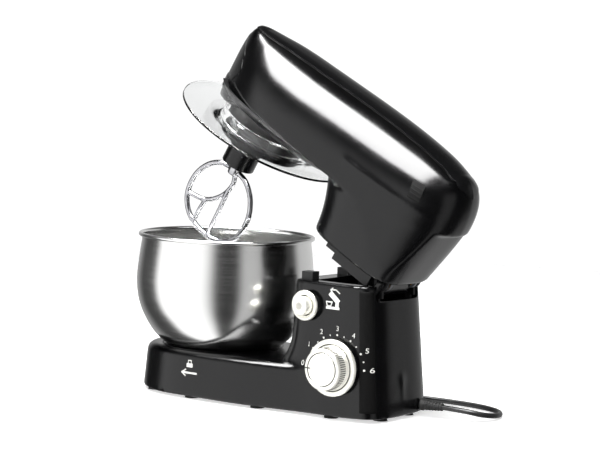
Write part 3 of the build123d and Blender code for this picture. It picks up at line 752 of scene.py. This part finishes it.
def corner_strips():
    """Trim strips down the column's rear corners, coloured with painted shade: near black and dull."""
    pieces = []
    for side in (-1, 1):
        def place(u, v):
            angle = side * (0.45 + 0.15 * u) * math.pi / 2
            return column_point(12 + 144 * v, angle, 0.2)

        piece = sheet("strip", 8, 40, place)
        modified(piece, "SOLIDIFY", thickness=1.4, offset=-1 if side > 0 else 1)
        pieces.append(bevelled(piece, 0.3, 2, 50))
    finish(joined("corner_strips", pieces), PAINTED_SHADE_ABS, "stand", replaces=["corner_trims"])


base_shell()
corner_strips()


# ---------------------------------------------------------------------------------------- controls
def towards_user(piece, x, y, z):
    """Turn a piece drawn flat or on an upright axis to face the control side, with its back there."""
    piece.data.transform(Matrix.Translation((x, y, z)) @ Matrix.Rotation(math.pi / 2, 4, "X"))
    return piece


def dial():
    """Plated dial: a wide flange, a stepped groove and a cap with a pointer; its flutes and groove lines are
    painted shade in dark ABS.
    """
    profile = [(0, 0), (33.5, 0), (DIAL_R, 0.8), (DIAL_R, 3.6), (33.6, 4.8), (31.5, 5.4), (29.4, 5.4),
               (28.6, 4.6), (27.4, 4.6), (26.8, 5.4), (26.2, 8.0), (25.3, 8.8), (25.3, 21.0), (25.0, 22.4),
               (24.2, 23.5), (22.6, 24.0), (20.9, 24.0), (20.4, 23.3), (19.4, 23.3), (19.0, 24.0), (0, 24.0)]
    body = smoothed(bevelled(turned("dial_cap", profile, 160), 0.25, 2, 30), 30)
    towards_user(body, DIAL_X, PANEL_Y, DIAL_Z)
    finish(body, PLATED, "dial", replaces=["speed_dial"], angle=0)
    # Painted shade: the flutes and the two rings are dark satin ABS laid in the dial's grooves, standing in
    # for the shade in them; the pointer is a dark mark on the cap.
    groove_shades = []
    for i in range(FLUTES):
        angle = 2 * math.pi * i / FLUTES
        spot = Vector((25.1 * math.cos(angle), 25.1 * math.sin(angle), 0))
        groove_shades.append(rod("flute_shade", 0.62, spot + Vector((0, 0, 9.5)), spot + Vector((0, 0, 20)), 0, 8))
    for radius, depth in ((28.0, 4.75), (19.9, 23.45)):
        groove = turned("groove", [(radius - 0.7, depth - 0.4), (radius + 0.7, depth - 0.4),
                                   (radius + 0.7, depth), (radius - 0.7, depth)], 128)
        groove_shades.append(groove)
    pointer = block("pointer", (-24.3, -0.8, 23.6), (-15.5, 0.8, 24.25), 0.3)
    groove_shades.append(pointer)
    lines = towards_user(joined("dial_groove_shades", groove_shades), DIAL_X, PANEL_Y, DIAL_Z)
    finish(lines, SATIN_ABS, "dial")


def button():
    """Plated button in its plated bezel ring."""
    ring = [(12.6, 0), (BUTTON_R, 0), (BUTTON_R, 1.4), (17.9, 2.6), (16.8, 3.1), (15.6, 2.9), (14.8, 2.0),
            (13.6, 1.2), (12.9, 1.0), (12.6, 0.6)]
    bezel = towards_user(turned("button_ring", ring, 96), BUTTON_X, BUTTON_Y, BUTTON_Z)
    finish(bezel, PLATED, "stand", replaces=["button_bezel"], angle=40)
    cap = [(0, -4), (11.4, -4), (11.4, 10.8), (11.0, 11.8), (10.1, 12.5), (8.8, 12.8), (7.6, 12.6),
           (0, 12.3)]
    body = towards_user(turned("button_cap", cap, 96), BUTTON_X, BUTTON_Y, BUTTON_Z)
    stem = rod("stem", 4, (BUTTON_X, -64, BUTTON_Z), (BUTTON_X, -43, BUTTON_Z))
    tip = rod("tip", 1.5, (BUTTON_X, -43.2, BUTTON_Z), (BUTTON_X, -36.2, BUTTON_Z))
    finish(joined("button_top", [body, stem, tip]), PLATED, "button",
           replaces=["tilt_button"], angle=40)


def wall_y(x, z):
    """Where the column's near wall stands, at that place."""
    low, high = -math.pi * 0.97, -math.pi * 0.03
    for _ in range(40):
        middle = (low + high) / 2
        low, high = (middle, high) if column_point(z, middle).x < x else (low, middle)
    return column_point(z, low).y


def printed(name, pieces):
    """Lay flat ink marks, drawn in X and Z, on the near wall."""
    marks = joined(name, pieces)
    for v in marks.data.vertices:
        v.co.y += wall_y(v.co.x, v.co.z) - PRINT_LIFT
    return finish(marks, INK, "stand", angle=0)


def dot(x, z, radius, vertices=20):
    deselect()
    bpy.ops.mesh.primitive_circle_add(vertices=vertices, radius=radius, fill_type="NGON")
    return towards_user(named("dot"), x, 0, z)


def numeral(text, x, z, size):
    deselect()
    bpy.ops.object.text_add()
    piece = bpy.context.active_object
    piece.data.body = text
    piece.data.size = size
    piece.data.align_x = "CENTER"
    piece.data.align_y = "CENTER"
    bpy.ops.object.convert(target="MESH")
    return towards_user(named("numeral"), x, 0, z)


def stroke(points, width):
    """Flat line of the given width through the points, drawn in X and Z."""
    pieces = []
    for (x0, z0), (x1, z1) in zip(points, points[1:]):
        along_line = Vector((x1 - x0, 0, z1 - z0)).normalized()
        aside = Vector((along_line.z, 0, -along_line.x)) * width / 2
        a, b = Vector((x0, 0, z0)) - along_line * width / 4, Vector((x1, 0, z1)) + along_line * width / 4
        corners = [a + aside, b + aside, b - aside, a - aside]
        deselect()
        bpy.ops.mesh.primitive_plane_add(size=1)
        piece = named("stroke")
        for v, corner in zip(piece.data.vertices, (corners[0], corners[1], corners[3], corners[2])):
            v.co = corner
        pieces.append(piece)
    return pieces


def dial_scale():
    """Numbers round the dial from 0 to its highest speed, with a dot at each half step."""
    top_speed, dots_r, numbers_r = 6, 38.5, 46
    pieces = []
    for i in range(2 * top_speed + 1):
        angle = math.pi - math.pi * i / (2 * top_speed)
        x, z = math.cos(angle), math.sin(angle)
        pieces.append(dot(DIAL_X + dots_r * x, DIAL_Z + dots_r * z, 0.9 if i % 2 else 1.3))
        if i % 2 == 0:
            pieces.append(numeral(str(i // 2), DIAL_X + numbers_r * x, DIAL_Z + numbers_r * z, 8.6))
    printed("dial_numbers", pieces)


def tilt_sign():
    """Sign beside the button: a mixer with its head up, and an arrow."""
    x, z = 212, 142
    pieces = stroke([(x - 9, z - 9), (x + 9, z - 9)], 3.2)
    pieces += stroke([(x + 6, z - 9), (x + 6, z - 1)], 5)
    pieces += stroke([(x + 7, z - 1), (x - 4, z + 8)], 6.5)
    pieces += stroke([(x - 10, z - 2), (x - 1, z - 2)], 1.6)
    pieces += stroke([(x - 9.5, z - 2.5), (x - 8, z - 7), (x - 3, z - 7), (x - 1.5, z - 2.5)], 1.4)
    pieces += stroke([(x + 9, z + 9), (x + 3, z + 13), (x - 4, z + 12.5)], 1.3)
    pieces += stroke([(x - 1.2, z + 15), (x - 4.5, z + 12.5), (x - 1.8, z + 9.8)], 1.3)
    printed("tilt_sign", pieces)


def lock_sign():
    """Arrow on the base that shows which way the bowl turns to lock, with a padlock over it."""
    pieces = stroke([(5, 33), (27, 33)], 2.4)
    pieces += stroke([(10, 37), (4, 33), (10, 29)], 1.8)
    pieces += stroke([(12, 42.5), (19, 42.5)], 5.0)
    pieces += stroke([(13.2, 45), (13.2, 48.5), (17.8, 48.5), (17.8, 45)], 1.2)
    marks = joined("lock_sign", pieces)
    for v in marks.data.vertices:
        best = min((base_point(0.5 + k / 800, v.co.z) for k in range(400)), key=lambda q: abs(q.x - v.co.x))
        v.co.y += best.y - 0.3
    finish(marks, INK, "stand", angle=0)


dial()
button()
dial_scale()
tilt_sign()
lock_sign()


# -------------------------------------------------------------------------------- bowl and beater
def bowl():
    """Spun bowl: a full round belly, pulled in a little under a rolled rim."""
    outside = [(0, 50, 0), (30, 50, 0), (45, 50.6, 0), (66, 56, 0), (87, 72, 0), (102, 94, 0),
               (110.5, 116, 0), (113.6, 142, 0), (111.5, 170, 0), (108.6, 192, 0)]
    gauge, belly = 1.2, 90
    skin = [(p.x, p.y) for p in eased(outside, 7)]
    lining = [(r - gauge if r > gauge else 0, z + (gauge if z < belly else gauge / 2))
              for r, z in reversed(skin)]
    profile = skin + [(108.6, 196.6), (109.6, 197.2), (111.6, 197.2), (112.7, 198.2), (113.0, 199.6),
                      (112.6, 201.0), (111.4, 201.9), (109.6, 202.0), (108.2, 201.3), (107.4, 199.6),
                      (107.3, 197)] + lining
    piece = turned("spun_bowl", profile, 192, closed=False)
    finish(piece, BRUSHED, "bowl", replaces=["bowl"], angle=50)


def beater():
    """Polished beater: a bar bent into a leaf, a curved rib across it and two upright bars."""
    def leaf(a, z, aside=0.0):
        return (a, BEATER_Y + aside, z)

    side = [(7, 153), (22, 150), (37, 139), (47.5, 122), (51, 103), (47.5, 84), (36, 69), (19, 60.5)]
    loop = [leaf(a, z) for a, z in side] + [leaf(0, 58)] + [leaf(-a, z) for a, z in reversed(side)]
    rib = [leaf(2, 151), leaf(5, 134, 3), leaf(-3, 112, 4), leaf(-22, 94, 3), leaf(-49, 88)]
    pieces = [
        bar("leaf", loop, 3.5, steps=8),
        bar("rib", rib, 3.2),
        bar("upright", [leaf(-21, 94, 3), leaf(-21, 80), leaf(-21, 62)], 3.0),
        bar("upright", [leaf(3, 124, 3), leaf(6, 95), leaf(7, 60)], 3.0),
        rod("hub", 8.2, (0, BEATER_Y, 147), (0, BEATER_Y, 161.4), 1.5),
    ]
    finish(melted(joined("beater_casting", pieces), 0.9, 6), POLISHED_ALUMINIUM, "beater", raised=True,
           replaces=["beater"], angle=0)


def guard():
    """Clear splash guard: a shallow cone with a turned-down rim, a tall collar and a pouring lug."""
    profile = [(60.0, 205.6), (61.5, 205.2), (64, 206.8), (80, 208.4), (100, 210.2), (113, 211.2),
               (116.2, 211.2), (117, 211.9), (117, 213.6), (116.3, 214.3), (113, 213.8), (100, 212.4),
               (80, 210.8), (65.5, 209.6), (62.6, 210.4), (62.2, 212), (62.2, 221), (61.8, 222),
               (60.2, 222), (59.8, 221), (59.8, 206.6)]
    plate = turned("guard_plate", profile, 160)
    pieces = [smoothed(plate, 30)]
    for i in range(3):
        angle = math.radians(30 + 120 * i)
        lug = block("lug", (57.0, -6, 217.6), (60.4, 6, 220.4), 0.6)
        lug.data.transform(Matrix.Rotation(angle, 4, "Z"))
        pieces.append(smoothed(lug))

    def chute_place(u, v):
        radius, angle = 63 + 10 * math.sin(math.pi * v / 2), -0.62 + 0.5 * (u - 0.5)
        return Vector((radius * math.cos(angle), radius * math.sin(angle), 221 - 11 * v))

    chute = sheet("chute", 20, 8, chute_place)
    modified(chute, "SOLIDIFY", thickness=1.8, offset=0)
    pieces.append(smoothed(bevelled(chute, 0.4, 2, 50)))
    finish(joined("clear_guard", pieces), CLEAR, "guard", raised=True, replaces=["splash_guard"],
           angle=0)


bowl()
beater()
guard()


# ------------------------------------------------------------------------------------------ setting
def surround():
    """Studio round the mixer: white for the eye; tall pale panels and dark gaps for what is polished."""
    world = bpy.data.worlds.new("studio surround")
    bpy.context.scene.world = world
    world.use_nodes = True
    tree = world.node_tree
    tree.nodes.clear()
    way = add(tree, "ShaderNodeTexCoord").outputs["Generated"]
    parts = add(tree, "ShaderNodeSeparateXYZ", links={"Vector": way})
    bearing = add(tree, "ShaderNodeMath", {"operation": "ARCTAN2"},
                  links={0: parts.outputs["Y"], 1: parts.outputs["X"]})
    round_about = add(tree, "ShaderNodeMapRange", links={"Value": bearing.outputs["Value"]},
                      From_Min=-math.pi, From_Max=math.pi)
    panels = add(tree, "ShaderNodeValToRGB", links={"Fac": round_about.outputs["Result"]})
    stops = panels.color_ramp.elements
    bands = [  # bearing in degrees from the rear, and brightness
        (-180, 0.04), (-158, 0.05), (-148, 1.0), (-92, 1.0), (-78, 0.8), (-64, 0.03), (-38, 0.02),
        (-28, 0.42), (-8, 0.38), (2, 0.03), (48, 0.03), (60, 0.4), (110, 0.45), (150, 0.25), (172, 0.04),
    ]
    while len(stops) < len(bands):
        stops.new(0.5)
    for stop, (degrees, level) in zip(stops, bands):
        stop.position = (degrees + 180) / 360
        stop.color = (level, level, level, 1)
    low = add(tree, "ShaderNodeMapRange", links={"Value": parts.outputs["Z"]},
              From_Min=0.2, From_Max=0.5, To_Min=1.7, To_Max=0.06)
    level = add(tree, "ShaderNodeMath", {"operation": "MULTIPLY"},
                links={0: panels.outputs["Color"], 1: low.outputs["Result"]})
    seen = add(tree, "ShaderNodeBackground", Color=(1, 1, 1, 1), Strength=1.05)
    lit = add(tree, "ShaderNodeBackground", links={"Strength": level.outputs["Value"]}, Color=(1, 1, 1, 1))
    path = add(tree, "ShaderNodeLightPath")
    through = add(tree, "ShaderNodeMath", {"operation": "MAXIMUM"},
                  links={0: path.outputs["Is Camera Ray"], 1: path.outputs["Is Transmission Ray"]})
    mix = add(tree, "ShaderNodeMixShader", links={"Fac": through.outputs["Value"]})
    tree.links.new(lit.outputs["Background"], mix.inputs[1])
    tree.links.new(seen.outputs["Background"], mix.inputs[2])
    add(tree, "ShaderNodeOutputWorld", links={"Surface": mix.outputs["Shader"]})


def lamps():
    """Soft lamps overhead and at the side; the wide card over the head lights only what is glossy."""
    table = [
        # name, place, aimed at, width, height, watts, for gloss
        ("overhead softbox", (0.1, -0.5, 2.2), (0.05, 0, 0.1), 1.6, 1.2, 55, False),
        ("side softbox", (0.7, -1.9, 0.9), (0.1, 0, 0.2), 0.9, 1.2, 16, False),
        ("overhead card", (0.0, -0.75, 2.2), (0.05, -0.1, 0.25), 2.6, 1.9, 560, True),
    ]
    for name, place, aim, width, height, watts, for_gloss in table:
        deselect()
        bpy.ops.object.light_add(type="AREA", location=place)
        lamp = named(name)
        lamp.data.shape = "RECTANGLE"
        lamp.data.size = width
        lamp.data.size_y = height
        lamp.data.energy = watts
        lamp.visible_diffuse = not for_gloss
        lamp.visible_glossy = for_gloss
        lamp.rotation_euler = (Vector(aim) - Vector(place)).to_track_quat("-Z", "Y").to_euler()


def setting():
    """Pale floor under the mixer, kept out of its reflections."""
    deselect()
    bpy.ops.mesh.primitive_circle_add(vertices=96, radius=1.9, fill_type="NGON")
    floor = named("floor")
    material, tree, shader, place = surface("matt white floor", Roughness=0.7,
                                            Emission_Color=(1, 1, 1, 1), Emission_Strength=0.6)
    mottle = add(tree, "ShaderNodeTexNoise", links={"Vector": place}, Scale=3.0)
    tint = add(tree, "ShaderNodeValToRGB", links={"Fac": mottle.outputs["Fac"]})
    tint.color_ramp.elements[0].color = linear("#f4f4f4")
    tint.color_ramp.elements[1].color = linear("#f8f8f8")
    tree.links.new(tint.outputs["Color"], shader.inputs["Base Color"])
    floor.data.materials.append(material)
    floor.location.z = -0.0005
    floor.visible_glossy = False
    surround()
    lamps()
    bpy.context.scene.view_settings.view_transform = "Standard"


setting()


# ------------------------------------------------------------------- finishes of the carried pieces
CARRIED = {
    GLOSS_ABS: "base_housing head_housing top_cover nose_cover rear_cover dial_bezel button_bezel "
               "corner_trims vent_grilles planet_carrier beater_cup",
    SATIN_ABS: "bottom_plate bowl_seat bowl_base_ring latch_posts lower_cover hinge_skirt gear_housing "
               "speed_switch micro_switch cord_clamp plug latch_lever cooling_fan",
    BRUSHED: "bowl",
    POLISHED_ALUMINIUM: "beater",
    BLACKENED: "hinge_bracket hinge_pin latch_bracket",
    STEEL: "bottom_screws button_spring carrier_shaft output_shaft idler_shaft "
           "motor_shaft head_screws armature motor_stator dial_shaft main_gear idler_pinion planet_pinion",
    DIE_CAST: "head_frame motor_brackets idler_pulley motor_pulley",
    PLATED: "speed_dial tilt_button",
    CLEAR: "splash_guard",
    RUBBER: "suction_feet cord_boot power_cord cord_coil drive_belt",
    COPPER: "field_coils commutator",
    NYLON: "ring_gear brush_holders",
    BOARD: "control_board",
    BRONZE: "shaft_bearings",
}
for finish_material, names in CARRIED.items():
    for node_name in names.split():
        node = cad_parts[node_name]
        node.data.materials.clear()
        node.data.materials.append(finish_material)
